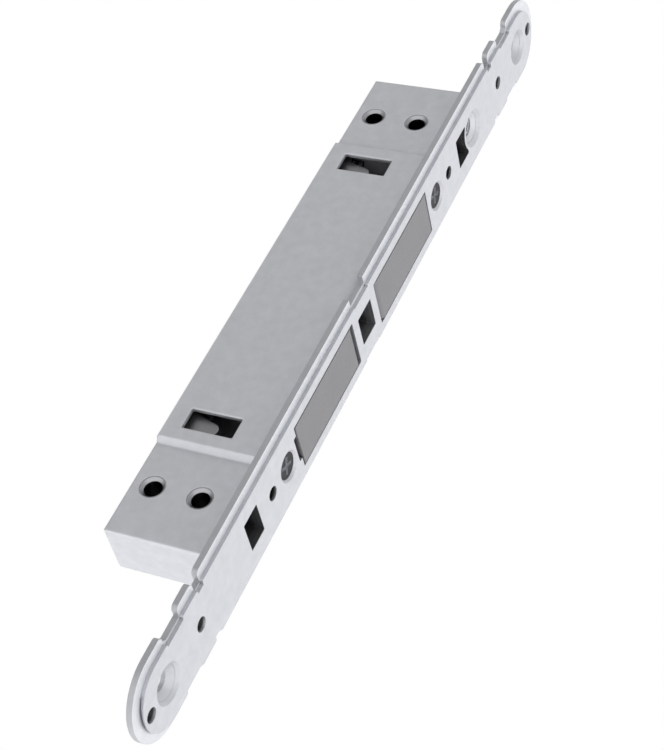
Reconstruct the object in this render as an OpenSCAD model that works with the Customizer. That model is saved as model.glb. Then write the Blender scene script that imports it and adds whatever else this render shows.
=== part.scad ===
// Magnetic door latch with two swing bolts, for mortise fitting in a door edge.
// X runs across the forend, Y runs from the door's edge into the door, Z runs up the door.
// The origin is midway between the two fixing screws, on the back of the forend.

/* [Forend] */
// Width of the forend plate
forend_w = 24; // [22:0.5:28]
// Thickness of the forend plate
forend_t = 1.5; // [1.2:0.1:2.5]
// Thickness of the face plate that lies on it
face_t = 1; // [0.8:0.1:1.5]
// Width of the ledge that the face plate leaves free on the cover's side
ledge = 2.65; // [1.5:0.05:3]
// Width of the ledge at the rounded ends
tip_ledge = 3; // [2:0.1:4]
// Length of plate between the casing and the first notch
end_margin = 8.2; // [5:0.1:15]
// Length of the narrow gap in the long edges
gap_l = 2.7; // [1.5:0.1:4]
// Length of the tab after the gap
tab_l = 7.4; // [5:0.1:12]
// Length of the notch after the tab
notch_l = 7.6; // [5:0.1:12]
// Length of the rounded lobe at each end
lobe_l = 18.6; // [15:0.1:30]
// Depth of the gap in the forend plate
gap_d = 3.4; // [2:0.1:4]
// Depth of the notch in the forend plate
notch_d = 2.9; // [1:0.1:3.2]
// Depth of the gap in the face plate
face_gap_d = 1.2; // [0.6:0.05:2]
// Depth of the notch in the face plate
face_notch_d = 0.9; // [0.3:0.05:1.5]
// Radius of the corners of the forend plate's tabs
edge_r = 1.5; // [0.5:0.1:1.8]
// Radius of the corners of the face plate's tabs
face_edge_r = 0.6; // [0.3:0.1:1]
// Length of the notch at the middle of the long edges
mid_notch_l = 8.6; // [4:0.1:12]
// Depth of that notch in the forend plate
mid_notch_d = 2.1; // [0.5:0.1:2.4]
// Depth of that notch in the face plate
face_mid_notch_d = 0.45; // [0.2:0.05:1]

/* [Fixing holes] */
// Distance of the fixing screws from the ends of the forend
fixing_inset = 14.3; // [12:0.1:20]
// Diameter of the fixing holes
fixing_d = 5.3; // [4.5:0.1:6]
// Diameter of their countersinks
fixing_head_d = 10.4; // [9:0.1:10.8]
// Height of the collar that the countersinks raise behind the forend
collar_h = 1.2; // [1:0.1:2]
// Diameter of the small locating holes
locating_d = 3.8; // [2.5:0.1:4.5]
// Distance of the outer locating holes from the ends of the forend
locating_inset = 5.8; // [4:0.1:7]
// Length of the rectangular holes over the blocks
slot_l = 6.9; // [5:0.1:8]
// Width of the rectangular holes over the blocks
slot_w = 9.5; // [6:0.1:11]
// Depth of the pockets behind the rectangular holes
pocket_d = 6; // [2:0.5:8]
// Length of the rectangular hole in the middle
mid_slot_l = 8; // [5:0.1:9]
// Width of the rectangular hole in the middle
mid_slot_w = 9.1; // [6:0.1:11]
// Diameter of the tapped hole's countersink at the upper end
tapped_head_d = 11; // [9:0.1:12]
// Rim that the rectangular hole leaves round that countersink
tapped_rim = 0.7; // [0.4:0.1:1]
// Diameter of the clearance hole below that countersink
tapped_clear_d = 5.5; // [4.8:0.1:6.5]
// Diameter of the tapped hole in the block
tapped_d = 4.2; // [3:0.1:4.6]
// Diameter of the screws that hold the casing
case_screw_d = 4; // [3:0.1:5]
// Diameter of their countersinks in the face plate
case_head_d = 8.4; // [7:0.1:9]

/* [Latch bolts] */
// Width of the bolt windows
window_w = 14.1; // [10:0.1:15]
// Length of the bolt windows
window_l = 36; // [30:0.5:45]
// Solid bar of forend between the two windows
window_web = 13.86; // [12.5:0.02:18]
// Running gap at the sides of a bolt
bolt_side_gap = 0.25; // [0.15:0.05:0.5]
// Gap between a bolt's inner end and its window
bolt_end_gap = 0.8; // [0.7:0.05:1]
// Gap between a bolt's swinging end and its window
bolt_tip_gap = 0.25; // [0.15:0.05:0.5]
// Angle that a bolt swings out
bolt_swing = 14; // [11:0.5:14]
// Depth of a bolt's block behind the forend
bolt_back = 8; // [6.5:0.1:9]
// Diameter of a bolt's hinge pin
hinge_d = 2.4; // [2:0.1:2.8]
// Diameter of the magnet in a bolt
magnet_d = 8; // [5:0.5:10]
// Thickness of that magnet
magnet_t = 5; // [3:0.5:6]

/* [Casing] */
// Depth of the casing behind the forend
case_d = 28.9; // [27:0.1:35]
// Length of each solid fixing block
block_l = 28.85; // [24:0.1:40]
// Height of the raised middle over the blocks
rise = 1.55; // [1:0.05:2]
// How far the raised middle stands out at the rear
rear_rise = 0.45; // [0.2:0.05:0.8]
// Thickness of the cover sheet
cover_t = 1.2; // [0.8:0.1:1.5]
// Thickness of the body's walls
body_t = 1.2; // [1:0.1:1.6]
// Offset of the casing from the middle of the forend
case_x = 0.45; // [0:0.05:1]
// Length of the side windows in the cover
side_window_l = 6.4; // [5:0.1:7]
// Front edge of the side windows
side_window_front = 10.05; // [9.5:0.05:12]
// Rear edge of the side windows
side_window_rear = 24.2; // [22:0.1:25]
// Diameter of the fixing bores through the blocks
bush_d = 4.7; // [3.5:0.1:5]
// Wall of the bushes
bush_wall = 0.58; // [0.4:0.02:0.7]
// Diameter of the flared ends of the bushes
bush_head_d = 6.8; // [6.4:0.1:7.6]
// Rim of a flared end round its conical mouth
mouth_rim = 0.3; // [0.2:0.05:0.5]
// Distance of the front bores from the forend
bush_front = 10.4; // [8:0.1:12]
// Distance between the front and the rear bores
bush_spacing = 13; // [10:0.1:14]

/* [Blocking gear] */
// Front end of the blocking levers
lever_front = 16.3; // [16:0.1:17]
// Half width of a lever's round nose
nose_half = 1.8; // [1.4:0.1:2]
// Half width of a lever at its widest
lever_half = 3.95; // [3:0.05:4.1]
// Thickness of the levers
lever_t = 2.6; // [2:0.1:2.8]
// Diameter of the lever pins
lever_pin_d = 2; // [1.6:0.1:2.2]
// Angle that a lever turns
lever_turn = 20; // [16:1:22]
// Distance from a lever's pin to its drive stud
stud_arm = 4.8; // [4.4:0.1:5]
// Thickness of the lock slide
slide_t = 1.2; // [0.8:0.1:1.4]
// Stroke of the solenoid
stroke = 1.6; // [1.4:0.1:1.8]
// Diameter of the solenoid's plunger
plunger_d = 5; // [4:0.1:5.4]
// Length of the solenoid's frame
solenoid_l = 28; // [24:1:30]

/* [Wiring] */
// Thickness of the circuit board
board_t = 1.6; // [1:0.1:2]
// Distance of the board's holes from its edges
board_hole_inset = 1.9; // [1.5:0.1:2.5]
// Pitch of the terminals
terminal_pitch = 3.5; // [3:0.1:3.8]
// Length of a sensor
sensor_l = 10; // [6:0.5:12]
// Radius of the hole for the cable grommet
grommet_r = 3; // [2.6:0.1:3.4]

/* [Hidden] */
$fn = 64;
// Overrun of a cutting tool past the face that it opens
cut = 0.5;
// Running clearance on the radius of a pin
run = 0.05;
// Clearance on the radius of a pin that is pressed in
press = 0.01;
// Clearance between layers of the blocking gear
layer = 0.4;
// Straight wall that a countersink leaves at the back of the forend
land = 0.5;
// Wall of the collars behind the fixing holes, at their ends
collar_wall = 1.1;
// Corner radius of the punched holes
punch_r = 0.3;

// Across the forend and the casing
front_y = -(forend_t + face_t);
half_w = forend_w / 2;
// The face plate lies over the middle of the casing
face_half_w = half_w - ledge + case_x;
inner_half = window_w / 2 + 0.55;
cover_in_x = case_x - inner_half;
cover_out_x = cover_in_x - cover_t;
wall_in_x = case_x + inner_half;
wall_out_x = wall_in_x + body_t;
block_face_x = cover_out_x + rise;
block_top_x = block_face_x + cover_t;
block_back_x = wall_out_x - rise;

// Into the door
rear_out = case_d + rear_rise;
rear_in = rear_out - cover_t;
boss_depth = 9;
web_depth = 12;

// Along the door, each step from the feature before it
side_window_step = 1.67;
case_screw_step = 6.17;
centre_step = 11.72;
joggle_run = 1.25;
bush_offset = 0.375;
locating_steps = [4.6, 3.45];
tapped_step = 8.4;
tapped_depth = 12;
web_step = 1.43;
window_in = window_web / 2;
window_out = window_in + window_l;
side_window_in = window_out + side_window_step;
case_screw_z = window_out + case_screw_step;
centre_half = window_out + centre_step;
joggle_end = centre_half + joggle_run;
bend_shift = cover_t * tan(atan2(rise, joggle_run) / 2);
block_in = centre_half + 0.05;
case_half = centre_half + block_l;
block_mid_z = centre_half + block_l / 2 - bush_offset;
main_half = case_half + end_margin;
tab_in = main_half + gap_l;
notch_in = tab_in + tab_l;
lobe_in = notch_in + notch_l;
forend_half = lobe_in + lobe_l;
lobe_centre = forend_half - half_w;
face_centre = forend_half - tip_ledge - face_half_w;
fixing_z = forend_half - fixing_inset;
locating_z = [forend_half - locating_inset, notch_in - locating_steps[0], centre_half + locating_steps[1]];
tapped_z = block_mid_z + tapped_step;
web_half = window_in - web_step;

// Latch bolts
bolt_half = window_w / 2 - bolt_side_gap;
bolt_x0 = case_x - bolt_half;
bolt_x1 = case_x + bolt_half;
hinge_y = hinge_d / 2 + 0.4;
hinge_z = window_in + 2.72;
bolt_in = window_in + bolt_end_gap;
bolt_nose_r = 1.4;
tip_r = norm([window_out - hinge_z, hinge_y]) - bolt_tip_gap;
arm_step = 1.93;
arm_l = 8;
arm_out = window_out - arm_step;
arm_in = arm_out - arm_l;
arm_back = 23.8;
magnet_reach = 16.5;
magnet_z = hinge_z + magnet_reach;
magnet_floor = bolt_back - magnet_t - 0.5;
spring_wire = 0.3;
spring_mean_r = hinge_d / 2 + 0.15 + spring_wire;
spring_room_r = spring_mean_r + spring_wire + 0.25;
spring_room_x = [case_x + 1, case_x + 5];
// The arm of a bolt that is out comes to this edge of the boss
stop_gap = 0.225;
arm_reach = arm_out - hinge_z;
boss_in = hinge_z + arm_reach * cos(bolt_swing) + stop_gap
    + (boss_depth - hinge_y + arm_reach * sin(bolt_swing)) * tan(bolt_swing);

// Blocking gear
lever_x0 = cover_in_x + 1.75;
lever_x1 = lever_x0 + lever_t;
slide_x0 = lever_x1 + layer;
slide_x1 = slide_x0 + slide_t;
gear_floor_x = slide_x1 + layer;
lever_step = 4.62;
lever_z = window_out + lever_step;
hub_r = 2.6;
boss_r = 1.85;
lever_pin_y = rear_in - hub_r - 0.3;
lever_pin_end = wall_in_x - 3;
stud_r = 0.8;
stud_slot_r = stud_r + 0.15;
ear_half = 1.5;
pin_slot_r = lever_pin_d / 2 + 0.12;
slide_wall = 1;
slide_front = lever_pin_y - stud_arm * sin(lever_turn) - stud_slot_r - slide_wall;
slide_rear = lever_pin_y + pin_slot_r + slide_wall;
slide_top = lever_z + stud_arm * cos(lever_turn) + stroke + stud_slot_r + slide_wall;
slide_bottom = -(lever_z + stud_arm + stud_slot_r + slide_wall);
slide_pocket = slide_top + 0.6;
plunger_step = 2.3;
plunger_y = slide_front - plunger_step;
solenoid_top = -web_half - 0.5;
solenoid_bottom = solenoid_top - solenoid_l;
solenoid_x0 = gear_floor_x + 0.2;
solenoid_x1 = wall_in_x;
plunger_x = (solenoid_x0 + solenoid_x1) / 2;
plunger_end = 8;
tail_step = 10;
plunger_tail = solenoid_bottom + tail_step;
drive_z = 5;
drive_r = 1;
collar_z = 1;
collar_r = plunger_d / 2 + 1.4;
frame_t = 1.2;
frame_half = 6.6;
coil_r = 4.1;
bobbin_r = plunger_d / 2 + 0.6;
flange_t = 0.8;

// Wiring
sensor_w = 3;
sensor_t = 2.2;
sensor_gap = 0.4;
board_gap = 0.64;
sensor_y = plunger_y - frame_half - sensor_gap - sensor_t;
board_x = wall_in_x - board_t;
board_y = [sensor_y + sensor_t + board_gap, rear_in - 1.4];
board_z = [window_in + 8, window_out - 9];
grommet_inset = 4.4;
grommet_x = wall_in_x - grommet_inset;
grommet_z = board_z[1] - grommet_r;

// Placing helpers: a drawing in (Y, Z) is extruded along X, one in (X, Z) along Y.
module along_x(x0, x1) {
    translate([x0, 0, 0]) rotate([90, 0, 90]) linear_extrude(x1 - x0) children();
}

module along_y(y0, y1) {
    translate([0, y1, 0]) rotate([90, 0, 0]) linear_extrude(y1 - y0) children();
}

module rod_x(r, x0, x1, y, z) {
    translate([x0, y, z]) rotate([0, 90, 0]) cylinder(r = r, h = x1 - x0);
}

module rod_y(r, y0, y1, x, z) {
    translate([x, y0, z]) rotate([-90, 0, 0]) cylinder(r = r, h = y1 - y0);
}

module box(low, high) {
    translate(low) cube(high - low);
}

// A countersink of about 90 degrees in metal of thickness t, open at y0 with radius r0, narrowing to r1
module countersink(r0, r1, y0, x, z, t = forend_t + face_t) {
    depth = min(r0 - r1, t - land);
    translate([x, y0, z]) rotate([-90, 0, 0]) cylinder(r1 = r0, r2 = r1, h = depth);
    rod_y(r0, y0 - cut, y0, x, z);
}

// A rectangle with round corners, centred on the origin
module rounded(w, l, r) {
    square([w - 2 * r, l], center = true);
    square([w, l - 2 * r], center = true);
    for (sx = [-1, 1], sy = [-1, 1])
        translate([sx * (w / 2 - r), sy * (l / 2 - r)]) circle(r);
}

// Forend

// The outline of a forend sheet with its gaps, tabs and notches: half is its half width, centre the middle
// of its rounded ends and r the radius of its other corners
module forend_outline(half, centre, gap, notch, mid_notch, r) {
    difference() {
        union() {
            square([2 * (half - gap), 2 * centre], center = true);
            rounded(2 * half, 2 * main_half, r);
            for (s = [-1, 1]) {
                translate([0, s * (tab_in + tab_l / 2)]) rounded(2 * half, tab_l, r);
                translate([0, s * (notch_in + notch_l / 2)])
                    square([2 * (half - notch), notch_l + 2 * r], center = true);
                translate([0, s * (lobe_in + centre + r) / 2]) rounded(2 * half, centre + r - lobe_in, r);
                translate([0, s * centre]) circle(half);
            }
        }
        for (s = [-1, 1]) translate([s * (half + cut), 0])
            square([2 * (mid_notch + cut), mid_notch_l], center = true);
    }
}

// The rectangular hole over the upper block, which stops short of the tapped hole's countersink
module upper_slot() {
    difference() {
        rounded(slot_w, slot_l, punch_r);
        translate([0, tapped_step]) circle(tapped_head_d / 2 + tapped_rim);
    }
}

// Everything that is cut through both forend sheets
module forend_cuts() {
    y1 = cut;
    y0 = front_y - cut;
    for (s = [-1, 1]) {
        for (z = locating_z) rod_y(locating_d / 2, y0, y1, 0, s * z);
        rod_y(fixing_d / 2, y0, collar_h + cut, 0, s * fixing_z);
        countersink(fixing_head_d / 2, fixing_d / 2, front_y, 0, s * fixing_z, collar_h - front_y);
        rod_y(case_screw_d / 2 + 0.25, y0, y1, case_x, s * case_screw_z);
        countersink(case_head_d / 2, case_screw_d / 2 + 0.25, front_y, case_x, s * case_screw_z);
        along_y(y0, y1) translate([case_x, s * (window_in + window_l / 2)])
            rounded(window_w, window_l, punch_r);
    }
    along_y(y0, y1) translate([0, block_mid_z]) upper_slot();
    along_y(y0, y1) translate([0, -block_mid_z]) rounded(slot_w, slot_l, punch_r);
    along_y(y0, y1) rounded(mid_slot_w, mid_slot_l, punch_r);
    rod_y(tapped_clear_d / 2, y0, y1, 0, tapped_z);
    countersink(tapped_head_d / 2, tapped_clear_d / 2, front_y, 0, tapped_z);
}

// The small relief in the end of the lower window
module tip_relief() {
    along_y(front_y - cut, cut) translate([case_x - 0.2, -window_out]) rounded(8.2, 2.6, 0.4);
}

// The wedge-shaped relief under the rounded ends of the face plate. Its circle lies further in than the
// lobe's, so the relief begins on the flanks of the lobe and is widest at the tip.
module lobe_relief(s) {
    deep = 0.6 * face_t;
    wide = 1.2;
    shift = 5;
    inner_r = face_half_w - wide + shift;
    translate([case_x, -forend_t, s * (face_centre - shift)]) rotate([90, 0, 0])
        rotate_extrude($fn = 128) translate([inner_r, 0])
            polygon([[0, 0], [wide + cut, deep * (1 + cut / wide)], [wide + cut, -cut], [0, -cut]]);
}

module forend_plate() {
    color("silver") difference() {
        union() {
            along_y(-forend_t, 0)
                forend_outline(half_w, lobe_centre, gap_d, notch_d, mid_notch_d, edge_r);
            // Collars that are drawn out round the fixing holes
            for (s = [-1, 1]) translate([0, -land, s * fixing_z]) rotate([-90, 0, 0])
                cylinder(r1 = fixing_d / 2 + 2 * collar_wall, r2 = fixing_d / 2 + collar_wall,
                    h = collar_h + land);
        }
        forend_cuts();
        tip_relief();
    }
}

module face_plate() {
    color("gainsboro") difference() {
        along_y(front_y, -forend_t) translate([case_x, 0]) forend_outline(face_half_w, face_centre,
            face_gap_d, face_notch_d, face_mid_notch_d, face_edge_r);
        forend_cuts();
        tip_relief();
        for (s = [-1, 1]) lobe_relief(s);
    }
}

// Casing

// A tool that rounds an edge which runs along Z; sx is the side that the edge faces along X
module edge_tool(x, y, r, z0, z1, sx) {
    translate([x, y, z0]) linear_extrude(z1 - z0) scale([sx, 1]) difference() {
        translate([-r, -r]) square(2 * r);
        translate([-r, -r]) circle(r);
    }
}

// Half of the body's section in (X, Z): a fixing block and the joggle of the hidden side
module body_half() {
    polygon([[block_top_x, block_in], [wall_in_x, block_in], [wall_in_x, centre_half - 0.5],
        [wall_out_x, centre_half - 0.5], [wall_out_x, centre_half], [block_back_x, joggle_end],
        [block_back_x, case_half], [block_top_x, case_half]]);
}

// Half of the cover's section in (X, Z): raised middle, joggle and flat end
module cover_half() {
    polygon([[cover_out_x, -cut], [cover_out_x, centre_half], [block_face_x, joggle_end],
        [block_face_x, case_half], [block_top_x, case_half], [block_top_x, joggle_end - bend_shift],
        [cover_in_x, centre_half - bend_shift], [cover_in_x, -cut]]);
}

// Half of the boss for a case screw, in (X, Z), which fills the cover's joggle
module boss_half() {
    polygon([[cover_in_x, boss_in], [wall_in_x + 0.1, boss_in], [wall_in_x + 0.1, joggle_end - bend_shift],
        [block_top_x, joggle_end - bend_shift], [cover_in_x, centre_half - bend_shift]]);
}

module bush_bores(r) {
    for (s = [-1, 1], y = [bush_front, bush_front + bush_spacing])
        rod_x(r, block_face_x - cut, block_back_x + cut, y, s * block_mid_z);
}

// The flared end of a bush or of its seat; sx is the side that it faces
module flare(x, sx, y, z, r0, r1) {
    translate([x, y, z]) rotate([0, -sx * 90, 0]) cylinder(r1 = r0, r2 = r1, h = r0 - r1);
}

module bush_flares(x, sx, r0, r1) {
    for (s = [-1, 1], y = [bush_front, bush_front + bush_spacing]) flare(x, sx, y, s * block_mid_z, r0, r1);
}

module case_body() {
    color("darkgray") difference() {
        union() {
            for (s = [-1, 1]) {
                along_y(0, case_d) scale([1, s]) body_half();
                along_y(0, boss_depth) scale([1, s]) boss_half();
                rod_x(boss_r, gear_floor_x, wall_in_x + 0.1, lever_pin_y, s * lever_z);
            }
            box([wall_in_x, 0, -centre_half], [wall_out_x, rear_out, centre_half]);
            // Web between the bolts
            box([cover_in_x, 0, -web_half], [wall_in_x + 0.1, web_depth, web_half]);
        }
        for (s = [-1, 1]) {
            // Bores for the hinge pin of the bolt and the pin of the lever
            rod_x(hinge_d / 2 + press, wall_in_x - cut, wall_in_x + 0.7, hinge_y, s * hinge_z);
            rod_x(lever_pin_d / 2 + press, gear_floor_x - cut, lever_pin_end, lever_pin_y, s * lever_z);
            // Pocket in which an end of the lock slide runs
            box([slide_x0 - layer, slide_front - layer, s > 0 ? block_in - cut : -slide_pocket],
                [gear_floor_x, slide_rear + layer, s > 0 ? slide_pocket : -block_in + cut]);
            // Pocket and holes behind the forend
            rod_y(case_screw_d / 2 + press, -cut, boss_depth - 0.6, case_x, s * case_screw_z);
            rod_y(locating_d / 2, -cut, pocket_d, 0, s * locating_z[2]);
            edge_tool(block_back_x, case_d, 0.9, s > 0 ? joggle_end : -case_half - cut,
                s > 0 ? case_half + cut : -joggle_end, 1);
        }
        edge_tool(wall_out_x, rear_out, 1.1, -centre_half - cut, centre_half + cut, 1);
        along_y(-cut, pocket_d) rounded(mid_slot_w, mid_slot_l, punch_r);
        along_y(-cut, pocket_d) translate([0, block_mid_z]) upper_slot();
        along_y(-cut, pocket_d) translate([0, -block_mid_z]) rounded(slot_w, slot_l, punch_r);
        rod_y(tapped_d / 2, -cut, tapped_depth, 0, tapped_z);
        bush_bores(bush_d / 2 + bush_wall);
        bush_flares(block_back_x, 1, bush_head_d / 2, bush_d / 2 + bush_wall);
    }
}

module case_cover() {
    color("silver") difference() {
        union() {
            for (s = [-1, 1]) along_y(0, case_d) scale([1, s]) cover_half();
            // The middle is folded over the rear
            difference() {
                box([cover_out_x, 0, -centre_half], [wall_in_x - 0.05, rear_out, centre_half]);
                box([cover_in_x, -cut, -centre_half - cut], [wall_out_x, rear_in, centre_half + cut]);
            }
        }
        edge_tool(cover_out_x, rear_out, 1.1, -centre_half - cut, centre_half + cut, -1);
        for (s = [-1, 1]) {
            // Side window
            along_x(cover_out_x - cut, cover_in_x + cut)
                translate([(side_window_front + side_window_rear) / 2, 0])
                    translate([0, s * (side_window_in + side_window_l / 2)])
                        rounded(side_window_rear - side_window_front, side_window_l, punch_r);
            // Blind seat of the hinge pin
            rod_x(hinge_d / 2 + press, cover_in_x - 0.6, cover_in_x + cut, hinge_y, s * hinge_z);
        }
        bush_bores(bush_d / 2 + bush_wall);
        bush_flares(block_face_x, -1, bush_head_d / 2, bush_d / 2 + bush_wall);
        rod_y(grommet_r, rear_in - cut, rear_out + cut, grommet_x, grommet_z);
    }
}

module block_bushes() {
    color("gray") difference() {
        union() {
            for (s = [-1, 1], y = [bush_front, bush_front + bush_spacing])
                rod_x(bush_d / 2 + bush_wall - press, block_face_x, block_back_x, y, s * block_mid_z);
            bush_flares(block_face_x, -1, bush_head_d / 2 - press, bush_d / 2 + bush_wall - press);
            bush_flares(block_back_x, 1, bush_head_d / 2 - press, bush_d / 2 + bush_wall - press);
        }
        bush_bores(bush_d / 2);
        // Conical mouths
        bush_flares(block_face_x - cut, -1, bush_head_d / 2 - mouth_rim + cut, bush_d / 2);
        bush_flares(block_back_x + cut, 1, bush_head_d / 2 - mouth_rim + cut, bush_d / 2);
    }
}

module case_screws() {
    sunk = 0.6;
    top_y = front_y + sunk;
    head_r = case_head_d / 2 - sunk - 0.02;
    shank_r = case_screw_d / 2;
    recess = 1.3;
    arm = head_r * 0.68;
    color("dimgray") for (s = [-1, 1]) difference() {
        union() {
            translate([case_x, top_y, s * case_screw_z]) rotate([-90, 0, 0])
                cylinder(r1 = head_r, r2 = shank_r, h = head_r - shank_r);
            rod_y(shank_r, top_y, boss_depth - 0.6, case_x, s * case_screw_z);
        }
        // Cross recess
        for (turn = [20, 110]) translate([case_x, top_y - cut, s * case_screw_z])
            rotate([-90, 0, 0]) rotate(turn) translate([0, 0, (recess + cut) / 2])
                cube([2 * arm, 1, recess + cut], center = true);
    }
}

// Latch bolts

// The side view in (Y, Z) of the upper bolt's block
module bolt_profile() {
    difference() {
        union() {
            translate([front_y + bolt_nose_r, bolt_in]) square([bolt_back - front_y - bolt_nose_r, window_l]);
            translate([front_y, bolt_in + bolt_nose_r]) square([bolt_back - front_y, window_l]);
            translate([front_y + bolt_nose_r, bolt_in + bolt_nose_r]) circle(bolt_nose_r);
        }
        // The swinging end is an arc round the hinge
        difference() {
            translate([front_y - cut, hinge_z + tip_r * 0.6])
                square([bolt_back - front_y + 2 * cut, window_l]);
            translate([hinge_y, hinge_z]) circle(tip_r, $fn = 180);
        }
    }
}

// The arm that the blocking lever catches, with its web to the block
module arm_profile() {
    web = 3;
    translate([bolt_back - 2, arm_in]) square([arm_back - bolt_back + 2, arm_out - arm_in]);
    polygon([[bolt_back - 0.5, arm_in - web], [bolt_back, arm_in - web], [bolt_back + web, arm_in],
        [bolt_back + web, arm_out], [bolt_back - 0.5, arm_out]]);
}

// The upper bolt; the lower one is its mirror image
module latch_bolt() {
    color("gray") difference() {
        union() {
            along_x(bolt_x0, bolt_x1) bolt_profile();
            along_x(lever_x0, lever_x1) arm_profile();
        }
        rod_x(hinge_d / 2 + run, bolt_x0 - cut, bolt_x1 + cut, hinge_y, hinge_z);
        // Room for the return spring round the pin
        rod_x(spring_room_r, spring_room_x[0], spring_room_x[1], hinge_y, hinge_z);
        // Pocket for the magnet, open at the back
        rod_y(magnet_d / 2 + 0.03, magnet_floor, bolt_back + cut, case_x, magnet_z);
    }
}

module latch_bolt_upper() {
    latch_bolt();
}

module latch_bolt_lower() {
    mirror([0, 0, 1]) latch_bolt();
}

module bolt_magnet(s) {
    color("lightsteelblue") rod_y(magnet_d / 2, magnet_floor, magnet_floor + magnet_t, case_x, s * magnet_z);
}

module bolt_magnet_upper() {
    bolt_magnet(1);
}

module bolt_magnet_lower() {
    bolt_magnet(-1);
}

module bolt_pin(s) {
    color("lightgray") rod_x(hinge_d / 2, cover_in_x - 0.5, wall_in_x + 0.6, hinge_y, s * hinge_z);
}

module bolt_pin_upper() {
    bolt_pin(1);
}

module bolt_pin_lower() {
    bolt_pin(-1);
}

// A coil spring as one unbroken tube: each ring of points is a hexagon square to the wire.
// The coil runs along +Z from zero, with mean radius r, wire radius w, and turns turns over length l.
module coil_spring(r, w, turns, l) {
    steps = 10;
    sides = 6;
    n = round(turns * steps);
    rise_angle = atan2(l, turns * 2 * PI * r);
    function ring(k) = [for (j = [0:sides - 1])
        let (a = 360 * k / steps, b = 360 * j / sides, out = r + w * cos(b),
            up = w * sin(b) * cos(rise_angle), along = -w * sin(b) * sin(rise_angle))
        [out * cos(a) - along * sin(a), out * sin(a) + along * cos(a), l * k / n + up]];
    points = [for (k = [0:n]) each ring(k)];
    walls = [for (k = [0:n - 1], j = [0:sides - 1]) let (a = k * sides + j, b = k * sides + (j + 1) % sides)
        each [[a, b, b + sides], [a, b + sides, a + sides]]];
    first_cap = [for (j = [1:sides - 2]) [0, j + 1, j]];
    last_cap = [for (j = [1:sides - 2]) [n * sides, n * sides + j, n * sides + j + 1]];
    polyhedron(points, concat(walls, first_cap, last_cap));
}

module bolt_spring(s) {
    ends = spring_wire + 0.1;
    length = spring_room_x[1] - spring_room_x[0] - 2 * ends;
    color("darkgray") translate([spring_room_x[0] + ends, hinge_y, s * hinge_z]) rotate([0, 90, 0])
        coil_spring(spring_mean_r, spring_wire, 4, length);
}

module bolt_spring_upper() {
    bolt_spring(1);
}

module bolt_spring_lower() {
    bolt_spring(-1);
}

// A rubber stop on the rear wall, behind the arm of a bolt
module bolt_buffer(s) {
    mid_z = s * (arm_in + arm_out) / 2;
    color("dimgray") difference() {
        box([lever_x0, arm_back + 0.25, mid_z - 2.5], [lever_x1, rear_in, mid_z + 2.5]);
        rod_y(0.6, arm_back, arm_back + 2, (lever_x0 + lever_x1) / 2, mid_z);
    }
}

module bolt_buffer_upper() {
    bolt_buffer(1);
}

module bolt_buffer_lower() {
    bolt_buffer(-1);
}

// Blocking gear

// The side view of a lever in (Y, Z) round its pin: nose, tapered flanks, hub and the ear of the stud
module lever_profile() {
    nose_y = lever_front + nose_half - lever_pin_y;
    wide_y = -0.7;
    slope = atan2(lever_half - nose_half, wide_y - nose_y);
    touch = nose_half * [-sin(slope), cos(slope)];
    translate([nose_y, 0]) circle(nose_half);
    polygon([[nose_y + touch[0], touch[1]], [wide_y, lever_half], [hub_r * 0.6, hub_r * 0.8],
        [hub_r * 0.6, -hub_r * 0.8], [wide_y, -lever_half], [nose_y + touch[0], -touch[1]]]);
    circle(hub_r);
    translate([-ear_half, 0]) square([2 * ear_half, stud_arm]);
    translate([0, stud_arm]) circle(ear_half);
}

// The upper lever; the lower one is its mirror image
module blocking_lever() {
    color("slategray") difference() {
        translate([0, lever_pin_y, lever_z]) {
            along_x(lever_x0, lever_x1) lever_profile();
            rod_x(stud_r, lever_x1 - 0.1, slide_x1 + 0.2, 0, stud_arm);
        }
        // Blind bore for the pin
        rod_x(lever_pin_d / 2 + run, lever_x0 + 0.6, lever_x1 + cut, lever_pin_y, lever_z);
    }
}

module blocking_lever_upper() {
    blocking_lever();
}

module blocking_lever_lower() {
    mirror([0, 0, 1]) blocking_lever();
}

module lever_pin(s) {
    color("lightgray") rod_x(lever_pin_d / 2, lever_x0 + 0.65, lever_pin_end, lever_pin_y, s * lever_z);
}

module lever_pin_upper() {
    lever_pin(1);
}

module lever_pin_lower() {
    lever_pin(-1);
}

// The path of a stud in the slide, as the slide makes its stroke towards -Z
module stud_slot(s) {
    from = [lever_pin_y, s * (lever_z + stud_arm)];
    to = [lever_pin_y - stud_arm * sin(lever_turn), s * (lever_z + stud_arm * cos(lever_turn)) + stroke];
    long_slot(from, to, stud_slot_r);
}

module long_slot(from, to, r) {
    way = to - from;
    translate(from) circle(r);
    translate(to) circle(r);
    translate(from) rotate(atan2(way[1], way[0])) translate([0, -r]) square([norm(way), 2 * r]);
}

module lock_slide() {
    tab_half = 4;
    tab_front = plunger_y - drive_r - 1.5;
    color("lightgray") along_x(slide_x0, slide_x1) difference() {
        union() {
            translate([(slide_front + slide_rear) / 2, (slide_top + slide_bottom) / 2])
                rounded(slide_rear - slide_front, slide_top - slide_bottom, 0.8);
            translate([(tab_front + slide_rear) / 2, drive_z])
                rounded(slide_rear - tab_front, 2 * tab_half, 0.8);
        }
        translate([plunger_y, drive_z]) circle(drive_r + press);
        for (s = [-1, 1]) {
            stud_slot(s);
            long_slot([lever_pin_y, s * lever_z], [lever_pin_y, s * lever_z + stroke], pin_slot_r);
        }
    }
}

module plunger() {
    color("lightsteelblue") difference() {
        union() {
            translate([plunger_x, plunger_y, plunger_tail])
                cylinder(d = plunger_d, h = plunger_end - plunger_tail);
            translate([plunger_x, plunger_y, collar_z]) cylinder(r = collar_r, h = 1);
        }
        rod_x(drive_r + press, plunger_x - plunger_d, plunger_x + plunger_d, plunger_y, drive_z);
    }
}

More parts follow.
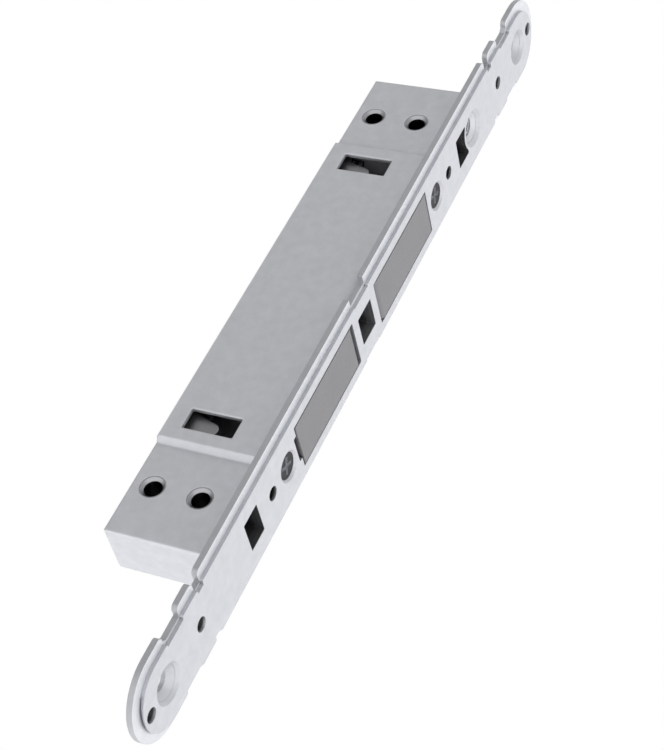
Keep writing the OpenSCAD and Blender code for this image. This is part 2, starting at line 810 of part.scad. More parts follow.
module drive_pin() {
    color("lightgray") rod_x(drive_r, slide_x0, plunger_x + plunger_d / 2, plunger_y, drive_z);
}

module plunger_spring() {
    ends = spring_wire + 0.05;
    color("darkgray") translate([plunger_x, plunger_y, solenoid_top + ends])
        coil_spring(plunger_d / 2 + 0.85, spring_wire, 5, collar_z - solenoid_top - 2 * ends);
}

module solenoid_frame() {
    color("silver") difference() {
        box([solenoid_x0, plunger_y - frame_half, solenoid_bottom],
            [solenoid_x1, plunger_y + frame_half, solenoid_top]);
        box([solenoid_x0 - cut, plunger_y - frame_half + frame_t, solenoid_bottom + frame_t],
            [solenoid_x1 + cut, plunger_y + frame_half - frame_t, solenoid_top - frame_t]);
        translate([plunger_x, plunger_y, solenoid_bottom + frame_t])
            cylinder(d = plunger_d + 0.4, h = solenoid_l);
    }
}

module solenoid_bobbin() {
    z0 = solenoid_bottom + frame_t;
    z1 = solenoid_top - frame_t;
    color("white") difference() {
        union() {
            translate([plunger_x, plunger_y, z0]) cylinder(r = bobbin_r, h = z1 - z0);
            for (z = [z0, z1 - flange_t]) translate([plunger_x, plunger_y, z])
                cylinder(r = coil_r + 0.15, h = flange_t);
        }
        translate([plunger_x, plunger_y, z0 - cut]) cylinder(d = plunger_d + 0.3, h = z1 - z0 + 2 * cut);
    }
}

module solenoid_coil() {
    z0 = solenoid_bottom + frame_t + flange_t;
    z1 = solenoid_top - frame_t - flange_t;
    color("peru") translate([plunger_x, plunger_y, z0]) difference() {
        cylinder(r = coil_r, h = z1 - z0);
        translate([0, 0, -cut]) cylinder(r = bobbin_r + press, h = z1 - z0 + 2 * cut);
    }
}

// Wiring

module circuit_board() {
    inset = board_hole_inset;
    color("green") difference() {
        box([board_x, board_y[0], board_z[0]], [wall_in_x, board_y[1], board_z[1]]);
        for (y = [board_y[0] + inset, board_y[1] - inset], z = [board_z[0] + inset, board_z[1] - inset])
            rod_x(0.8, board_x - cut, wall_in_x + cut, y, z);
    }
}

module terminal_block() {
    block_h = 6;
    y0 = board_y[0] + 1.2;
    y1 = y0 + 6.5;
    z0 = board_z[0] + 6;
    top_x = board_x - block_h;
    color("darkgreen") difference() {
        box([top_x, y0, z0], [board_x, y1, z0 + 3 * terminal_pitch]);
        for (k = [0:2]) {
            z = z0 + (k + 0.5) * terminal_pitch;
            rod_x(1, top_x - cut, top_x + 2.5, y0 + 2, z);
            rod_y(0.9, y1 - 3, y1 + cut, board_x - 2.3, z);
        }
    }
}

module sensor(s) {
    color("black") along_y(sensor_y, sensor_y + sensor_t)
        translate([wall_in_x - sensor_w / 2, s * magnet_z]) rounded(sensor_w, sensor_l, 0.6);
}

module sensor_upper() {
    sensor(1);
}

module sensor_lower() {
    sensor(-1);
}

module cable_grommet() {
    lip = 0.9;
    color("dimgray") difference() {
        union() {
            rod_y(grommet_r - press, rear_in - 0.5, rear_out + lip, grommet_x, grommet_z);
            rod_y(grommet_r + lip, rear_out, rear_out + lip, grommet_x, grommet_z);
            rod_y(grommet_r + 0.5, rear_in - 0.5, rear_in, grommet_x, grommet_z);
        }
        rod_y(grommet_r - 0.9, rear_in - 1, rear_out + 2, grommet_x, grommet_z);
    }
}

forend_plate();
face_plate();
case_body();
case_cover();
block_bushes();
case_screws();
latch_bolt_upper();
latch_bolt_lower();
bolt_magnet_upper();
bolt_magnet_lower();
bolt_pin_upper();
bolt_pin_lower();
bolt_spring_upper();
bolt_spring_lower();
bolt_buffer_upper();
bolt_buffer_lower();
blocking_lever_upper();
blocking_lever_lower();
lever_pin_upper();
lever_pin_lower();
lock_slide();
plunger();
drive_pin();
plunger_spring();
solenoid_frame();
solenoid_bobbin();
solenoid_coil();
circuit_board();
terminal_block();
sensor_upper();
sensor_lower();
cable_grommet();
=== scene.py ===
"""Magnetic door latch: its finishes, two remade pieces and the studio around it.

All sizes are in metres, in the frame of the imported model: X runs across the
forend, Y into the door and Z up the door.
"""
import logging
import math
from dataclasses import dataclass, field
from enum import Enum

import bmesh
import bpy
from mathutils import Matrix, Vector


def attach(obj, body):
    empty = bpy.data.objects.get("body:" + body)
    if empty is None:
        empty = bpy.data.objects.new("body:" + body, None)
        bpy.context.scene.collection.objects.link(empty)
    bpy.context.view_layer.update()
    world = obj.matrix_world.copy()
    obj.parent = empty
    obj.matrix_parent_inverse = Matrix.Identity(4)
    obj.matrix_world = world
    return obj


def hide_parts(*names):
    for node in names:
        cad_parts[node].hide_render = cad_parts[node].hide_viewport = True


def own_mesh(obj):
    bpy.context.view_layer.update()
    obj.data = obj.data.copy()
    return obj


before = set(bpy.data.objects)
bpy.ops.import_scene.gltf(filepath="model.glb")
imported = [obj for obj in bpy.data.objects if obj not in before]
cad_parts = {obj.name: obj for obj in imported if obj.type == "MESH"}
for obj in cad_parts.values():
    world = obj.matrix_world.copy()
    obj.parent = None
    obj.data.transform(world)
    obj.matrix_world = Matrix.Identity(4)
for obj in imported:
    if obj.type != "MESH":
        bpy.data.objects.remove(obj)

LOG = logging.getLogger("latch")
MM = 0.001
MERGE = 1e-6                 # points that lie closer than this become one
WHITE = (1.0, 1.0, 1.0, 1.0)
Colour = tuple[float, float, float]
Range = tuple[float, float]

# What all the finishes share.
GRAIN_OCTAVES = 3.0
MOTTLE_OCTAVES = 4.0
NOISE_ROUGHNESS = 0.6
NOISE_BAND = (0.3, 0.7)      # noise at which the tone is darkest and lightest
GRAIN_BAND = (0.25, 0.75)    # grain at which a finish is smoothest and roughest
ROUGH_BAND = (0.86, 1.14)    # that least and most roughness, as shares of its own
POLISH = 0.2                 # share of the roughness that an edge loses, along the edge band
COAT_ROUGHNESS = 0.2
EDGE_SAMPLES = 6
SKY_SAMPLES = 8
TURN_BAND = (0.99, 0.8)      # cosine of the rounding's turn: plain face, edge (worn, and painted shade on the bolt)
SIDE_SHADE_BAND = (0.6, 0.95)    # share of the normal along Y: painted shade full on side faces, none on faces along Y


class Grain(Enum):
    """How a surface is worked, as the grain's scale along Z beside that across it."""

    EVEN = 1.0
    BRUSHED = 1 / 14


class Side(Enum):
    """The upper or the lower one of a mirrored pair, as its nodes' names end."""

    UPPER = "upper"
    LOWER = "lower"


class NodeTree:
    """A small helper that adds and joins the nodes of a material or a world."""

    def __init__(self, owner: bpy.types.Material | bpy.types.World) -> None:
        """Start from an empty tree.

        Args:
            owner: the material or the world whose tree is filled.
        """
        owner.use_nodes = True
        self.tree = owner.node_tree
        self.tree.nodes.clear()

    def add(self, kind: str, inputs: dict[str | int, object] | None = None,
            **settings: object) -> bpy.types.Node:
        """Add a node.

        Args:
            kind: the node's type name without its prefix.
            inputs: socket name or number to a value, or to a socket to join.
            settings: properties of the node.

        Returns:
            The new node.
        """
        node = self.tree.nodes.new("ShaderNode" + kind)
        for key, value in settings.items():
            setattr(node, key, value)
        for key, value in (inputs or {}).items():
            if isinstance(value, bpy.types.NodeSocket):
                self.tree.links.new(value, node.inputs[key])
            else:
                node.inputs[key].default_value = value
        return node

    def math(self, operation: str, first: object,
             second: object = 0.0) -> bpy.types.NodeSocket:
        """Add a Math node on values or sockets, and give its output socket."""
        return self.add("Math", {0: first, 1: second}, operation=operation).outputs[0]

    def spread(self, value: object, low: float, high: float, to_low: float,
               to_high: float) -> bpy.types.NodeSocket:
        """Map a value from one range to another, and keep it within that.

        Args:
            value: the socket that is mapped.
            low: the value that gives to_low.
            high: the value that gives to_high.
            to_low: result at low.
            to_high: result at high.

        Returns:
            The output socket.
        """
        node = self.add("MapRange", {"Value": value, "From Min": low, "From Max": high,
                                     "To Min": to_low, "To Max": to_high})
        return node.outputs["Result"]


class Outline(Enum):
    """The outline of a hole's mouth."""

    ROUND = "round"
    SQUARE = "square"


@dataclass(frozen=True)
class Mouth:
    """The mouth of a hole in the forend, whose walls get painted shade.

    Attributes:
        outline: round or square.
        z: place of its centre along the forend.
        half_x: half its width across the forend, or its radius if it is round.
        half_z: half its length along the forend.
        level: tone of its walls under the painted shade, beside that of the face.
        both_ends: the lower end of the forend has the same hole.
        fade: how far outside the outline the painted shade starts to fade, and ends.
        top: where in Y the painted shade starts, and is full.
        foot: where in Y it starts to fade again, and ends.
    """

    outline: Outline
    z: float
    half_x: float
    half_z: float
    level: float
    both_ends: bool = True
    fade: Range = (0.03 * MM, 0.1 * MM)
    top: Range = (-2.45 * MM, -2.3 * MM)
    foot: Range = (7.0 * MM, 7.5 * MM)

    def shade(self, tree: NodeTree, x: bpy.types.NodeSocket, y: bpy.types.NodeSocket,
              z: bpy.types.NodeSocket) -> bpy.types.NodeSocket:
        """Find the walls under this mouth, down to their foot, for their painted shade.

        Args:
            tree: the tree that it goes into.
            x: the place across the forend.
            y: the place into the door.
            z: the place along the forend.

        Returns:
            This mouth's painted shade level on its walls, and 1 elsewhere.
        """
        across = tree.math("ABSOLUTE", x)
        along = tree.math("ABSOLUTE", z) if self.both_ends else z
        along = tree.math("ABSOLUTE", tree.math("SUBTRACT", along, self.z))
        if self.outline is Outline.ROUND:
            square = tree.math("ADD", tree.math("MULTIPLY", across, across),
                               tree.math("MULTIPLY", along, along))
            reach = tree.math("SUBTRACT", tree.math("SQRT", square), self.half_x)
        else:
            reach = tree.math("MAXIMUM", tree.math("SUBTRACT", across, self.half_x),
                              tree.math("SUBTRACT", along, self.half_z))
        inside = tree.spread(reach, *self.fade, 1.0 - self.level, 0.0)
        under = tree.math("MULTIPLY", tree.spread(y, *self.top, 0.0, 1.0),
                          tree.spread(y, *self.foot, 1.0, 0.0))
        return tree.math("SUBTRACT", 1.0, tree.math("MULTIPLY", inside, under))


@dataclass(frozen=True)
class Finish:
    """One finish of the latch, as a metal finisher would describe it.

    Attributes:
        name: the finish's name.
        colour: its own colour.
        metallic: how far it shines as bare metal does.
        roughness: its mean roughness, which the grain varies.
        grain: how it is worked.
        grain_size: width of the grain.
        grain_depth: height of the grain.
        mottle: how far the tone wanders from place to place.
        mottle_size: size of those places.
        edge_wear_and_shade: tone that a worn edge gains; below 0, painted shade that
            darkens the edges instead.
        edge: radius to which the edges look rounded.
        painted_recess_tone: painted shade that recesses take, as a share of the tone,
            or painted light where this is below 0.
        painted_recess_depth: how far away a wall still counts for that painted tone.
        painted_recess_shut: share of open sky at which that painted tone is full.
        painted_recess_open: share of open sky at which none of that painted tone is
            left.
        coat: weight of the clear coat.
        painted_side_shade: painted shade on the faces that don't face along Y (a
            sheet's edges, its cones), as a share of the tone of the faces along Y.
        shine: specular level of what isn't bare metal.
        shaded_mouths: the mouths of holes whose walls get painted shade.
    """

    name: str
    colour: Colour
    metallic: float = 1.0
    roughness: float = 0.4
    grain: Grain = Grain.EVEN
    grain_size: float = 0.25 * MM
    grain_depth: float = 0.004 * MM
    mottle: float = 0.05
    mottle_size: float = 9.0 * MM
    edge_wear_and_shade: float = 0.15
    edge: float = 0.18 * MM
    # Every finish paints shade into its recesses, by ambient occlusion, unless this
    # tone is 0.
    painted_recess_tone: float = 0.75
    painted_recess_depth: float = 7.0 * MM
    painted_recess_shut: float = 0.12
    painted_recess_open: float = 0.5
    coat: float = 0.0
    painted_side_shade: float = 1.0
    shine: float = 0.5
    shaded_mouths: tuple[Mouth, ...] = ()

    def put_on(self, mesh: bpy.types.Mesh) -> None:
        """Give a mesh this finish and no other."""
        mesh.materials.clear()
        mesh.materials.append(self._material())

    def _material(self) -> bpy.types.Material:
        """Make the material, or find it if it is there.

        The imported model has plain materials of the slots' names, so the names here
        have an ending of their own.

        Returns:
            The material of this finish.
        """
        name = f"{self.name}_finish"
        found = bpy.data.materials.get(name)
        if found:
            return found
        made = bpy.data.materials.new(name)
        tree = NodeTree(made)
        place = tree.add("TexCoord").outputs["Object"]
        fine = self._noise(tree, place, self.grain_size, GRAIN_OCTAVES)
        edges = tree.add("Bevel", {"Radius": self.edge}, samples=EDGE_SAMPLES)
        rounded = edges.outputs["Normal"]
        edge_band = self._edge_band(tree, rounded)
        tone = self._tone(tree, place, fine, edge_band)
        base = tree.add("VectorMath", {0: self.colour, "Scale": tone},
                        operation="SCALE")
        smoothest, roughest = (self.roughness * share for share in ROUGH_BAND)
        rough = tree.spread(fine, *GRAIN_BAND, smoothest, roughest)
        polish = tree.math("MULTIPLY", edge_band, self.roughness * POLISH)
        rough = tree.math("SUBTRACT", rough, polish)
        bump = tree.add("Bump", {"Strength": 1.0, "Distance": self.grain_depth,
                                 "Height": fine, "Normal": rounded})
        shader = tree.add("BsdfPrincipled", {
            "Base Color": base.outputs[0],
            "Metallic": self.metallic,
            "Roughness": rough,
            "Specular IOR Level": self.shine,
            "Coat Weight": self.coat,
            "Coat Roughness": COAT_ROUGHNESS,
            "Normal": bump.outputs[0],
        })
        tree.add("OutputMaterial", {"Surface": shader.outputs[0]})
        made.diffuse_color = (*self.colour, 1.0)
        return made

    def _tone(self, tree: NodeTree, place: bpy.types.NodeSocket,
              fine: bpy.types.NodeSocket,
              edge_band: bpy.types.NodeSocket) -> bpy.types.NodeSocket:
        """Multiply everything that lightens or darkens the colour.

        Args:
            tree: the tree that it goes into.
            place: the coordinates.
            fine: the grain.
            edge_band: the edges, which take the wear, and on the bolt painted shade.

        Returns:
            What the colour is multiplied by.
        """
        broad = self._noise(tree, place, self.mottle_size, MOTTLE_OCTAVES)
        tone = tree.spread(broad, *NOISE_BAND, 1 - self.mottle, 1 + self.mottle)
        shares = [
            tree.spread(fine, *NOISE_BAND, 1 - self.mottle / 2, 1 + self.mottle / 2),
            # Lighter where the edges are worn; where the edge setting is below 0 this
            # paints shade along the edges.
            tree.spread(edge_band, 0.0, 1.0, 1.0, 1 + self.edge_wear_and_shade),
            # Painted shade in recesses, and painted light there where the recess
            # setting is below 0.
            self._painted_recess_tone(tree),
        ]
        # Painted shade on the faces that don't face along Y.
        if self.painted_side_shade != 1.0:
            shares.append(self._paint_side_shade(tree))
        # Painted shade on the walls of the holes.
        if self.shaded_mouths:
            shares.append(self._painted_wall_shade(tree, place))
        for share in shares:
            tone = tree.math("MULTIPLY", tone, share)
        return tone

    def _noise(self, tree: NodeTree, place: bpy.types.NodeSocket, size: float,
               octaves: float) -> bpy.types.NodeSocket:
        """Add noise of a real size, drawn out along Z on a brushed finish.

        Args:
            tree: the tree that it goes into.
            place: the coordinates.
            size: the noise's size.
            octaves: how many finer layers it has.

        Returns:
            The noise from 0 to 1.
        """
        scale = 1 / size
        spot = tree.add("Mapping", {"Vector": place,
                                    "Scale": (scale, scale, scale * self.grain.value)})
        node = tree.add("TexNoise", {"Vector": spot.outputs[0], "Scale": 1.0,
                                     "Detail": octaves, "Roughness": NOISE_ROUGHNESS})
        return node.outputs["Fac"]

    def _edge_band(self, tree: NodeTree,
              rounded: bpy.types.NodeSocket) -> bpy.types.NodeSocket:
        """Find the edges, where the rounded normal leaves the flat one: they take the
        wear, and on the bolt painted shade.

        Args:
            tree: the tree that it goes into.
            rounded: the normal with the edges rounded.

        Returns:
            1 on an edge and 0 away from it.
        """
        flat = tree.add("NewGeometry").outputs["Normal"]
        turn = tree.add("VectorMath", {0: rounded, 1: flat}, operation="DOT_PRODUCT")
        return tree.spread(turn.outputs["Value"], *TURN_BAND, 0.0, 1.0)

    def _paint_side_shade(self, tree: NodeTree) -> bpy.types.NodeSocket:
        """Paint shade on the faces of a sheet, which lies across Y, that don't face
        along Y: its edges and cones.

        Args:
            tree: the tree that it goes into.

        Returns:
            The painted shade's level on those faces, and 1 on the faces along Y.
        """
        facing = tree.add("TexCoord").outputs["Normal"]
        along = tree.add("SeparateXYZ", {"Vector": facing}).outputs["Y"]
        along = tree.math("ABSOLUTE", along)
        return tree.spread(along, *SIDE_SHADE_BAND, self.painted_side_shade, 1.0)

    def _painted_wall_shade(self, tree: NodeTree,
               place: bpy.types.NodeSocket) -> bpy.types.NodeSocket:
        """Paint shade on the walls of the holes, from under the face down to their
        foot.

        Args:
            tree: the tree that it goes into.
            place: the coordinates.

        Returns:
            1 outside the holes, and the painted shade's level on their walls.
        """
        x, y, z = tree.add("SeparateXYZ", {"Vector": place}).outputs
        shade = 1.0
        for mouth in self.shaded_mouths:
            shade = tree.math("MINIMUM", shade, mouth.shade(tree, x, y, z))
        return shade

    def _painted_recess_tone(self, tree: NodeTree) -> bpy.types.NodeSocket:
        """Paint shade into recesses by how little sky they see, or paint light there
        where the tone is below 0.

        Args:
            tree: the tree that it goes into.

        Returns:
            1 in the open, and the painted tone deep in recesses.
        """
        sky = tree.add("AmbientOcclusion", {"Distance": self.painted_recess_depth},
                       samples=SKY_SAMPLES)
        return tree.spread(sky.outputs["AO"], self.painted_recess_shut, self.painted_recess_open,
                           1 - self.painted_recess_tone, 1.0)


# Where the painted shade on the walls starts in Y: in a punched hole under the bright
# band at its rim, and in the tapped hole under its countersink.
PUNCHED = (-2.2 * MM, -1.6 * MM)
TAPPED = (0.0, 1.2 * MM)
# The walls under these mouths get painted shade, down to the level given.
SHADED_MOUTHS = (
    Mouth(Outline.ROUND, z=122.2 * MM, half_x=1.9 * MM, half_z=1.9 * MM, level=0.06,
          top=PUNCHED),
    Mouth(Outline.ROUND, z=97.2 * MM, half_x=1.9 * MM, half_z=1.9 * MM, level=0.06,
          top=PUNCHED),
    Mouth(Outline.ROUND, z=58.1 * MM, half_x=1.9 * MM, half_z=1.9 * MM, level=0.04,
          top=PUNCHED),
    Mouth(Outline.SQUARE, z=68.7 * MM, half_x=4.75 * MM, half_z=3.45 * MM, level=0.22),
    Mouth(Outline.SQUARE, z=0.0, half_x=4.55 * MM, half_z=4.0 * MM, level=0.4),
    Mouth(Outline.ROUND, z=77.1 * MM, half_x=2.8 * MM, half_z=2.8 * MM, level=0.3,
          both_ends=False, top=TAPPED),
)

# The face sheet: painted shade in its recesses, on its side faces and on the walls of
# its holes.
FOREND_STEEL = Finish("forend_steel", (0.63, 0.64, 0.675), metallic=0.6,
                      roughness=0.46, mottle=0.045, mottle_size=3.0 * MM, painted_recess_tone=0.5,
                      shaded_mouths=SHADED_MOUTHS, painted_side_shade=0.88)
# The forend plate: the face sheet's steel made lighter, which paints light on its ledge
# where the face sheet's step shades it; painted shade on its side faces, recesses and
# hole walls.
BACK_STEEL = Finish("back_steel", (0.76, 0.772, 0.81), metallic=0.5, roughness=0.46,
                    mottle=0.045, mottle_size=3.0 * MM, painted_recess_tone=0.3, shaded_mouths=SHADED_MOUTHS,
                    painted_side_shade=0.66)
# Painted shade in the body's recesses and on the walls under the forend's holes.
CASE_METAL = Finish("case_metal", (0.66, 0.67, 0.705), metallic=0.55, roughness=0.5,
                    mottle_size=3.0 * MM, grain_size=0.5 * MM, grain_depth=0.006 * MM,
                    painted_recess_tone=0.7, painted_recess_depth=12.0 * MM, shaded_mouths=SHADED_MOUTHS)
# Painted shade at the foot of the cover's joggle and in its other recesses.
COVER_STEEL = Finish("cover_steel", (0.68, 0.69, 0.725), metallic=0.6, roughness=0.5,
                     mottle=0.045, mottle_size=3.0 * MM, edge=0.8 * MM, painted_recess_tone=0.7,
                     painted_recess_depth=2.5 * MM, painted_recess_shut=0.3, painted_recess_open=0.95)
# Painted shade deep in the bushes' bores.
BUSH_STEEL = Finish("bush_steel", (0.36, 0.365, 0.38), roughness=0.34, painted_recess_tone=0.98,
                    painted_recess_shut=0.35, painted_recess_open=0.6)
# Near black with little shine: painted shade on the screw heads sunk in their
# countersinks; the recess tone below 0 paints light into the cross recesses.
SCREW_STEEL = Finish("screw_steel", (0.035, 0.035, 0.038), metallic=0.0, shine=0.1,
                     painted_recess_tone=-15.0, painted_recess_depth=3.0 * MM, painted_recess_shut=0.3,
                     painted_recess_open=0.75)
# The edge tone below 0 paints shade along the bolt's edges, for the shaded gap around
# it.
BOLT_METAL = Finish("bolt_metal", (0.262, 0.261, 0.275), metallic=0.5, roughness=0.55,
                    grain_size=0.6 * MM, grain_depth=0.01 * MM, mottle=0.03,
                    edge_wear_and_shade=-0.72, edge=0.75 * MM)
MAGNET = Finish("magnet", (0.62, 0.62, 0.64), roughness=0.16, mottle=0.02)
PIN_STEEL = Finish("pin_steel", (0.58, 0.58, 0.6), roughness=0.22, mottle=0.02)
SPRING_STEEL = Finish("spring_steel", (0.4, 0.4, 0.42), roughness=0.3,
                      grain_size=0.15 * MM)
RUBBER = Finish("buffer_rubber", (0.022, 0.022, 0.023), metallic=0.0, roughness=0.75,
                grain_depth=0.02 * MM, edge_wear_and_shade=0.3)
LEVER_STEEL = Finish("lever_steel", (0.34, 0.34, 0.35), roughness=0.42, mottle=0.08,
                     grain=Grain.BRUSHED, painted_recess_tone=0.1)
FRAME_STEEL = Finish("frame_steel", (0.5, 0.5, 0.52), roughness=0.36)
BOBBIN = Finish("bobbin_plastic", (0.55, 0.53, 0.47), metallic=0.0, roughness=0.5)
COPPER = Finish("coil_copper", (0.62, 0.22, 0.08), metallic=0.9, roughness=0.3,
                coat=0.4)
BOARD = Finish("board", (0.012, 0.12, 0.045), metallic=0.0, roughness=0.35, coat=0.5)
TERMINAL = Finish("terminal_plastic", (0.02, 0.16, 0.06), metallic=0.0, roughness=0.45)
SENSOR = Finish("sensor_plastic", (0.02, 0.02, 0.021), metallic=0.0)


def add_object(name: str, data: bpy.types.ID) -> bpy.types.Object:
    """Add an object to the scene.

    Args:
        name: its name.
        data: its mesh, lamp or camera.

    Returns:
        The new object.
    """
    made = bpy.data.objects.new(name, data)
    bpy.context.scene.collection.objects.link(made)
    return made


def copy_node(node: str, name: str, finish: Finish) -> bpy.types.Object:
    """Start a piece from a CAD node's mesh.

    Args:
        node: the CAD node, which stays as it is.
        name: the new piece's name.
        finish: the new piece's finish.

    Returns:
        The new piece.
    """
    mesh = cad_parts[node].data.copy()
    mesh.name = name
    finish.put_on(mesh)
    return add_object(name, mesh)


@dataclass
class SubAssembly:
    """A group of pieces that are made and finished together.

    Attributes:
        finishes: each CAD node of the group, and its finish.
    """

    finishes: dict[str, Finish] = field(default_factory=dict)

    def build(self) -> list[bpy.types.Object]:
        """Make the pieces that stand for CAD nodes, which most groups don't have."""
        return []

    def dress(self) -> None:
        """Finish the CAD nodes of this group."""
        for name, finish in self.finishes.items():
            finish.put_on(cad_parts[name].data)
            LOG.info("%s: %s", name, finish.name)

    def add(self) -> None:
        """Build and dress the group, and report its pieces."""
        for piece in self.build():
            LOG.info("%s: %s", piece.name, piece.active_material.name)
        self.dress()


@dataclass
class Forend(SubAssembly):
    """The forend plate, the face sheet on it and the screws that hold the casing.

    Attributes:
        seam_y: where the two sheets meet.
        relief_deep: depth of the relief in the back of the face sheet.
        relief_starts: how far from the middle the relief is meant to start.
        relief_centre: its centre across the forend, and from the middle.
        relief_radii: its inner and outer radius.
        slack: how far out of true a point of it may lie.
    """

    finishes: dict[str, Finish] = field(default_factory=lambda: {
        "forend_plate": BACK_STEEL,
        "case_screws": SCREW_STEEL,
    })
    seam_y: float = -1.5 * MM
    relief_deep: float = 0.85 * MM
    relief_starts: float = 104.0 * MM
    relief_centre: tuple[float, float] = (0.45 * MM, 110.2 * MM)
    relief_radii: Range = (13.6 * MM, 15.3 * MM)
    slack: float = 0.05 * MM

    def build(self) -> list[bpy.types.Object]:
        """Make the face sheet.

        Its relief belongs under the round ends only, so what runs on across the
        back of the sheet is closed here.

        Returns:
            The face sheet.
        """
        sheet = copy_node("face_plate", "face_sheet", FOREND_STEEL)
        work = bmesh.new()
        work.from_mesh(sheet.data)
        for vert in work.verts:
            if self._in_groove(vert.co):
                vert.co.y = self.seam_y
        bmesh.ops.remove_doubles(work, verts=work.verts, dist=MERGE)
        bmesh.ops.dissolve_degenerate(work, edges=work.edges, dist=MERGE)
        work.to_mesh(sheet.data)
        work.free()
        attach(sheet, "case")
        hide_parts("face_plate")
        return [sheet]

    def _in_groove(self, place: Vector) -> bool:
        """Tell whether a point lies in the part of the relief that is closed.

        Args:
            place: the point.

        Returns:
            True inside the groove behind the flat part of the sheet.
        """
        if abs(place.z) > self.relief_starts:
            return False
        if not self.seam_y - self.relief_deep - self.slack < place.y < self.seam_y:
            return False
        centre_x, centre_z = self.relief_centre
        reach = math.hypot(place.x - centre_x, abs(place.z) - centre_z)
        inner, outer = self.relief_radii
        return inner - self.slack < reach < outer + self.slack


@dataclass
class Casing(SubAssembly):
    """The cast body, the folded cover, the bushes and the grommet."""

    finishes: dict[str, Finish] = field(default_factory=lambda: {
        "case_body": CASE_METAL,
        "case_cover": COVER_STEEL,
        "block_bushes": BUSH_STEEL,
        "cable_grommet": RUBBER,
    })


@dataclass
class LatchBolt(SubAssembly):
    """One swing bolt with its magnet, hinge pin, spring and rubber stop.

    Attributes:
        side: the upper or the lower bolt.
    """

    side: Side = Side.UPPER

    def __post_init__(self) -> None:
        """Name the nodes of this side."""
        word = self.side.value
        self.finishes = {
            f"latch_bolt_{word}": BOLT_METAL,
            f"bolt_magnet_{word}": MAGNET,
            f"bolt_pin_{word}": PIN_STEEL,
            f"bolt_spring_{word}": SPRING_STEEL,
            f"bolt_buffer_{word}": RUBBER,
        }


@dataclass
class BlockingGear(SubAssembly):
    """The two blocking levers, their pins and the slide that turns them."""

    finishes: dict[str, Finish] = field(default_factory=lambda: {
        "blocking_lever_upper": LEVER_STEEL,
        "blocking_lever_lower": LEVER_STEEL,
        "lever_pin_upper": PIN_STEEL,
        "lever_pin_lower": PIN_STEEL,
        "lock_slide": LEVER_STEEL,
    })


@dataclass
class Solenoid(SubAssembly):
    """The solenoid with its plunger, drive pin and spring.

    Attributes:
        seat_z: the seat that the spring stands on; not used.
        collar_z: the plunger's collar at rest, on the spring's other end; not used.
        stroke: travel of the plunger towards the seat; not used.
        gap: room left between spring and collar at the end of the stroke; not used.
    """

    finishes: dict[str, Finish] = field(default_factory=lambda: {
        "solenoid_frame": FRAME_STEEL,
        "solenoid_bobbin": BOBBIN,
        "solenoid_coil": COPPER,
        "plunger": PIN_STEEL,
        "drive_pin": PIN_STEEL,
    })
    seat_z: float = -6.0 * MM
    collar_z: float = 1.0 * MM
    stroke: float = 1.6 * MM
    gap: float = 0.05 * MM

    def build(self) -> list[bpy.types.Object]:
        """Make the plunger's spring as a copy of its CAD node.

        Returns:
            The spring.
        """
        coil = copy_node("plunger_spring", "return_coil", SPRING_STEEL)
        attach(coil, "case")
        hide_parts("plunger_spring")
        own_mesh(coil)
        return [coil]


@dataclass
class Wiring(SubAssembly):
    """The circuit board, its terminal block and the two sensors."""

    finishes: dict[str, Finish] = field(default_factory=lambda: {
        "circuit_board": BOARD,
        "terminal_block": TERMINAL,
        "sensor_upper": SENSOR,
        "sensor_lower": SENSOR,
    })


@dataclass(frozen=True)
class Lamp:
    """A soft box that looks at the latch.

    Attributes:
        name: its name.
        place: where it hangs.
        size: side of its square face.
        power: its power in watts.
        mirrored: it shows in what mirrors it.
    """

    name: str
    place: tuple[float, float, float]
    size: float
    power: float
    mirrored: bool = True

    def build(self) -> None:
        """Hang the lamp and aim it at the origin."""
        data = bpy.data.lights.new(self.name, "AREA")
        data.shape = "SQUARE"
        data.size = self.size
        data.energy = self.power
        lamp = add_object(self.name, data)
        lamp.location = self.place
        lamp.visible_camera = False
        lamp.visible_glossy = self.mirrored
        aim = -Vector(self.place)
        lamp.rotation_euler = aim.to_track_quat("-Z", "Y").to_euler()


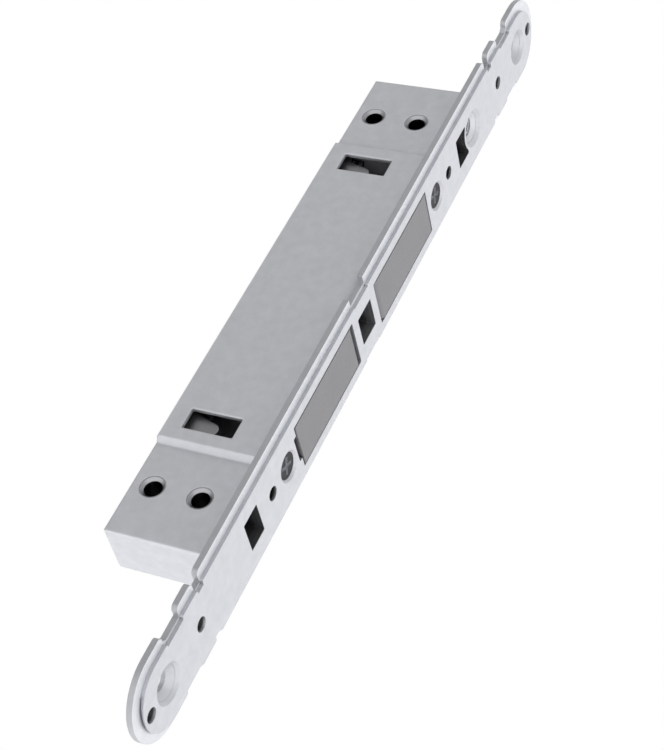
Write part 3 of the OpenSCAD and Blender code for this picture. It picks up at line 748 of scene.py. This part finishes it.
@dataclass
class Studio:
    """The camera, the soft lamps, the white surround and the floor.

    Attributes:
        lens: focal length in millimetres.
        sensor: width of the camera's frame in millimetres.
        clip: the nearest and the farthest that the camera sees.
        place: where the photograph was taken from.
        right: direction to the right of the picture.
        up: direction up in the picture.
        floor_z: height of the floor.
        floor_size: side of the floor.
        floor_grey: tone of the floor's paint.
        floor_roughness: roughness of the floor's paint.
        floor_lift: light that the floor gives where it is seen, to look white.
        dark_side: direction of the room's darker side.
        dark_band: cosine to that direction: no longer darker, darkest.
        room_high: brightness of the room, as a mirror shows it.
        room_low: brightness of its darker side.
        room_light: share of that brightness that lights the latch.
        lamps: the soft boxes.
    """

    lens: float = 88.5085
    sensor: float = 36.0
    clip: Range = (0.01, 20.0)
    place: tuple[float, float, float] = (-0.333984, -0.18404, -0.281944)
    right: tuple[float, float, float] = (0.181328, -0.899922, 0.39656)
    up: tuple[float, float, float] = (-0.667864, 0.183304, 0.721358)
    floor_z: float = -0.75
    floor_size: float = 6.0
    floor_grey: float = 0.85
    floor_roughness: float = 0.9
    floor_lift: float = 0.72
    dark_side: tuple[float, float, float] = (-0.85, 0.48, 0.2)
    dark_band: Range = (-0.5, 1.0)
    room_high: float = 1.0
    room_low: float = 0.57
    room_light: float = 0.8
    lamps: tuple[Lamp, ...] = (
        Lamp("key", (2.16, -1.2, 1.7), size=2.4, power=3.0),
        Lamp("front", (0.1, -3.0, 0.2), size=1.8, power=31.0, mirrored=False),
        Lamp("low", (0.6, 0.35, -0.62), size=0.8, power=0.6),
        Lamp("fill", (-1.8, -1.8, -0.4), size=1.6, power=2.0),
        Lamp("rear", (1.0, 2.4, 0.8), size=1.8, power=2.0),
    )

    def build(self) -> None:
        """Set up the camera, the lamps, the surround and the floor."""
        self._camera()
        for lamp in self.lamps:
            lamp.build()
        self._surround()
        self._floor()
        bpy.context.scene.view_settings.view_transform = "Standard"

    def _camera(self) -> None:
        """Place the camera where the photograph was taken from."""
        data = bpy.data.cameras.new("camera")
        data.lens = self.lens
        data.sensor_width = self.sensor
        data.clip_start, data.clip_end = self.clip
        camera = add_object("camera", data)
        right, up = Vector(self.right).normalized(), Vector(self.up).normalized()
        back = right.cross(up).normalized()
        up = back.cross(right)
        turn = Matrix((right, up, back)).transposed().to_4x4()
        camera.matrix_world = Matrix.Translation(self.place) @ turn
        bpy.context.scene.camera = camera

    def _surround(self) -> None:
        """Make the surround: white in view, and a soft room for the light."""
        world = bpy.data.worlds.new("surround")
        tree = NodeTree(world)
        path = tree.add("LightPath").outputs
        toward = tree.add("TexCoord").outputs["Generated"]
        dark = Vector(self.dark_side).normalized()
        turn = tree.add("VectorMath", {0: toward, 1: dark}, operation="DOT_PRODUCT")
        room = tree.spread(turn.outputs["Value"], *self.dark_band, self.room_high,
                           self.room_low)
        straight = tree.math("MAXIMUM", path["Is Camera Ray"],
                             path["Is Transmission Ray"])
        mirrored = tree.math("MULTIPLY", path["Is Glossy Ray"], room)
        lit = tree.math("MULTIPLY", room, self.room_light)
        level = tree.math("MAXIMUM", mirrored, lit)
        level = tree.math("MAXIMUM", level, straight)
        white = tree.add("Background", {"Color": WHITE, "Strength": level})
        tree.add("OutputWorld", {"Surface": white.outputs[0]})
        bpy.context.scene.world = world

    def _floor(self) -> None:
        """Lay the pale floor, which is white in view and keeps the latch's shadow."""
        mesh = bpy.data.meshes.new("floor")
        half, height = self.floor_size / 2, self.floor_z
        mesh.from_pydata([(-half, -half, height), (half, -half, height),
                          (half, half, height), (-half, half, height)], [],
                         [(0, 1, 2, 3)])
        floor = add_object("floor", mesh)
        material = bpy.data.materials.new("floor_paint")
        tree = NodeTree(material)
        grey = (self.floor_grey, self.floor_grey, self.floor_grey, 1)
        paint = tree.add("BsdfPrincipled", {"Base Color": grey,
                                            "Roughness": self.floor_roughness})
        path = tree.add("LightPath").outputs
        seen = tree.math("MAXIMUM", path["Is Camera Ray"], path["Is Glossy Ray"])
        lift = tree.math("MULTIPLY", seen, self.floor_lift)
        white = tree.add("Emission", {"Color": WHITE, "Strength": lift})
        both = tree.add("AddShader", {0: paint.outputs[0], 1: white.outputs[0]})
        tree.add("OutputMaterial", {"Surface": both.outputs[0]})
        mesh.materials.append(material)


def main() -> None:
    """Build the studio and every sub-assembly of the latch in order."""
    logging.basicConfig(level=logging.INFO, format="%(message)s")
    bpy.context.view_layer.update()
    Studio().build()
    for group in (Forend(), Casing(), LatchBolt(side=Side.UPPER),
                  LatchBolt(side=Side.LOWER), BlockingGear(), Solenoid(), Wiring()):
        group.add()


if __name__ == "__main__":
    main()
